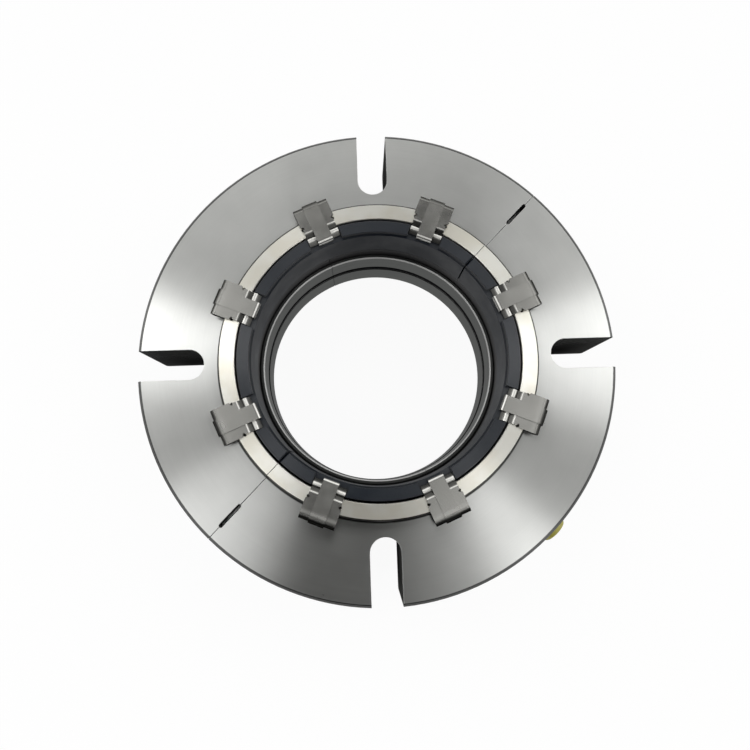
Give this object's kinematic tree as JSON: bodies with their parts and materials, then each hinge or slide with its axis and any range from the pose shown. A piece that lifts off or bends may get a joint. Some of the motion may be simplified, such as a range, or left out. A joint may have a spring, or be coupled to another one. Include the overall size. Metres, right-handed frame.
{
  "type": "cartridge mechanical seal",
  "caption": "Fully split cartridge seal for a pump shaft: slotted gland, finger springs clipped on a raised lip, split stationary and rotary rings and a clamping holder.",
  "frame": {"origin": "on the shaft's axis, in the plane of the gland's back (gasket) face", "axes": "+Z along the shaft, away from the machine, towards the springs; +X and +Y through bolt slots"},
  "size_m": [0.2396, 0.2396, 0.069],
  "materials": {
    "gland_steel": "fine turned stainless, satin",
    "screw_steel": "plain steel",
    "cord_rubber": "matt black",
    "gasket_fibre": "matt sheet",
    "plug_plastic": "moulded, slightly translucent",
    "carbide": "ground, matt",
    "o_ring_rubber": "matt black",
    "spring_sheet": "rolled sheet, bright at the bends",
    "clip_sheet": "rolled sheet, bright at the bends",
    "carbon": "lapped, matt",
    "pin_steel": "ground",
    "holder_steel": "turned stainless"
  },
  "bodies": {
    "gland": {"gland_half_a": "gland_steel", "gland_half_b": "gland_steel", "gland_screw_a": "screw_steel", "gland_screw_b": "screw_steel", "gland_cord_a": "cord_rubber", "gland_cord_b": "cord_rubber", "face_gasket_a": "gasket_fibre", "face_gasket_b": "gasket_fibre", "flush_plug": "plug_plastic", "stationary_o_ring": "o_ring_rubber", "finger_spring_1": "spring_sheet", "finger_spring_2": "spring_sheet", "finger_spring_3": "spring_sheet", "finger_spring_4": "spring_sheet", "finger_spring_5": "spring_sheet", "finger_spring_6": "spring_sheet", "finger_spring_7": "spring_sheet", "finger_spring_8": "spring_sheet", "centre_clip_1": "clip_sheet", "centre_clip_2": "clip_sheet", "centre_clip_3": "clip_sheet", "centre_clip_4": "clip_sheet", "centre_clip_5": "clip_sheet", "centre_clip_6": "clip_sheet", "centre_clip_7": "clip_sheet", "centre_clip_8": "clip_sheet"},
    "stationary_ring": {"stationary_half_a": "carbide", "stationary_half_b": "carbide"},
    "rotor": {"rotary_half_a": "carbon", "rotary_half_b": "carbon", "rotary_o_ring": "o_ring_rubber", "drive_pin_a": "pin_steel", "drive_pin_b": "pin_steel", "holder_half_a": "holder_steel", "holder_half_b": "holder_steel", "holder_screw_a": "screw_steel", "holder_screw_b": "screw_steel", "holder_cord_a": "cord_rubber", "holder_cord_b": "cord_rubber", "shaft_o_ring": "o_ring_rubber"}
  },
  "joints": [
    {"name": "rotor_spin", "type": "hinge", "parent": "gland", "child": "rotor", "pos_m": [0, 0, 0], "axis": [0, 0, 1], "continuous": true},
    {"name": "stationary_float", "type": "slide", "parent": "gland", "child": "stationary_ring", "axis": [0, 0, 1], "range_m": [0, 0.0015], "stiffness_N_per_m": 30000, "springref_m": -0.004, "deforming": ["finger_spring_1", "finger_spring_2", "finger_spring_3", "finger_spring_4", "finger_spring_5", "finger_spring_6", "finger_spring_7", "finger_spring_8", "centre_clip_1", "centre_clip_2", "centre_clip_3", "centre_clip_4", "centre_clip_5", "centre_clip_6", "centre_clip_7", "centre_clip_8"]}
  ]
}
